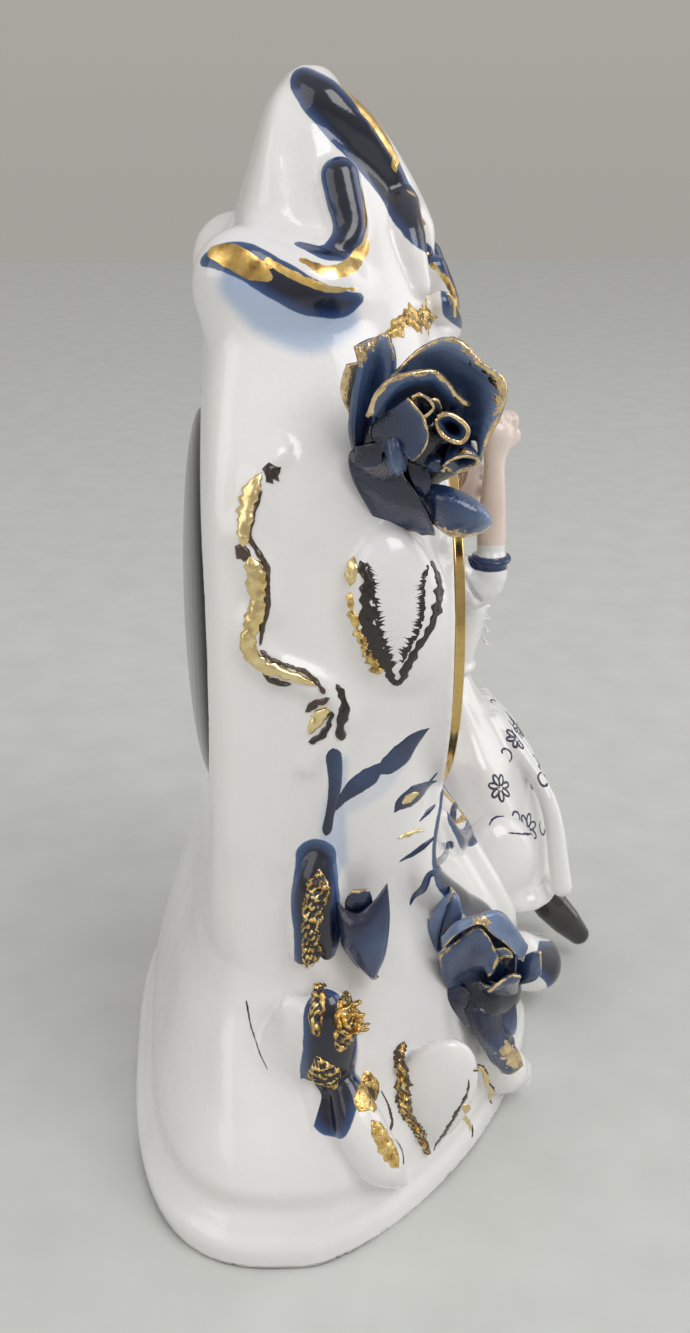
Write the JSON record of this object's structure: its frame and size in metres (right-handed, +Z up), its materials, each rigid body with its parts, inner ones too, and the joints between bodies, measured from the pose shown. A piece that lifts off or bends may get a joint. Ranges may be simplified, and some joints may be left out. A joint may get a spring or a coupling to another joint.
{
  "type": "porcelain mantel clock",
  "caption": "Tall porcelain mantel clock with scrolled case, applied roses and seated lady, holding a round quartz clock insert with plug-in rear cover.",
  "frame": {"origin": "on the table under the middle of the clock's outer box, with the open foot's rim at Z 0", "axes": "+Z up to the crest, -Y out of the dial towards the viewer, +X to the right of someone facing the dial"},
  "size_m": [0.224, 0.162, 0.307],
  "materials": {
    "white_porcelain": "glossy clear glaze over white body",
    "cobalt_glaze": "glossy cobalt blue with gilt edges",
    "flesh_glaze": "satin pale flesh glaze",
    "hair_glaze": "glossy brown glaze",
    "black_glaze": "glossy black-brown glaze",
    "gilt_metal": "polished gilt",
    "window_glass": "clear polished",
    "dial_card": "matt card with printed numbers",
    "black_plastic": "fine matt moulding",
    "cover_plastic": "polished black moulding",
    "white_plastic": "moulded natural",
    "seal_rubber": "matt",
    "brass": "turned",
    "steel": "plain",
    "copper": "enamelled copper wire",
    "circuit_board": "green solder mask"
  },
  "bodies": {
    "clock_body": {"case_shell": "white_porcelain", "rose_upper": "cobalt_glaze", "rose_lower": "cobalt_glaze", "leaf_sprig": "cobalt_glaze", "figure_skirt": "white_porcelain", "figure_petticoat": "white_porcelain", "figure_torso": "white_porcelain", "figure_head": "flesh_glaze", "figure_hair": "hair_glaze", "figure_raised_arm": "flesh_glaze", "figure_resting_arm": "flesh_glaze", "figure_shoe_left": "black_glaze", "figure_shoe_right": "black_glaze", "bezel": "gilt_metal", "glass": "window_glass", "insert_grip_ring": "seal_rubber", "dial_spacer": "white_plastic", "dial": "dial_card", "dial_retaining_ring": "black_plastic", "dial_washer": "seal_rubber", "dial_nut": "brass", "movement_case": "black_plastic", "movement_back": "black_plastic", "battery": "steel", "battery_contact_positive": "steel", "battery_contact_negative": "steel", "circuit_board": "circuit_board", "stator_core": "steel", "drive_coil": "copper"},
    "minute_hand_body": {"minute_hand": "gilt_metal", "cannon_pinion": "white_plastic", "minute_hand_nut": "brass"},
    "hour_hand_body": {"hour_hand": "gilt_metal", "hour_wheel": "white_plastic"},
    "setting_body": {"minute_wheel": "white_plastic", "time_set_knob": "black_plastic"},
    "second_hand_body": {"second_hand": "gilt_metal", "second_arbor": "steel"},
    "cover_body": {"rear_cover": "cover_plastic"}
  },
  "joints": [
    {"name": "minute_hand_turn", "type": "hinge", "parent": "clock_body", "child": "minute_hand_body", "pos_m": [-0.015, 0, 0.1625], "axis": [0, 1, 0], "continuous": true},
    {"name": "hour_hand_turn", "type": "hinge", "parent": "clock_body", "child": "hour_hand_body", "pos_m": [-0.015, 0, 0.1625], "axis": [0, 1, 0], "continuous": true},
    {"name": "setting_turn", "type": "hinge", "parent": "clock_body", "child": "setting_body", "pos_m": [-0.005, 0, 0.1625], "axis": [0, 1, 0], "continuous": true},
    {"name": "second_hand_turn", "type": "hinge", "parent": "clock_body", "child": "second_hand_body", "pos_m": [-0.015, 0, 0.1625], "axis": [0, 1, 0], "continuous": true},
    {"name": "rear_cover_pull", "type": "slide", "parent": "clock_body", "child": "cover_body", "axis": [0, 1, 0], "range_m": [0, 0.02]}
  ],
  "couplings": [
    {"joint": "hour_hand_turn", "follows": "minute_hand_turn", "ratio": 0.083333},
    {"joint": "setting_turn", "follows": "minute_hand_turn", "ratio": -0.33333}
  ]
}
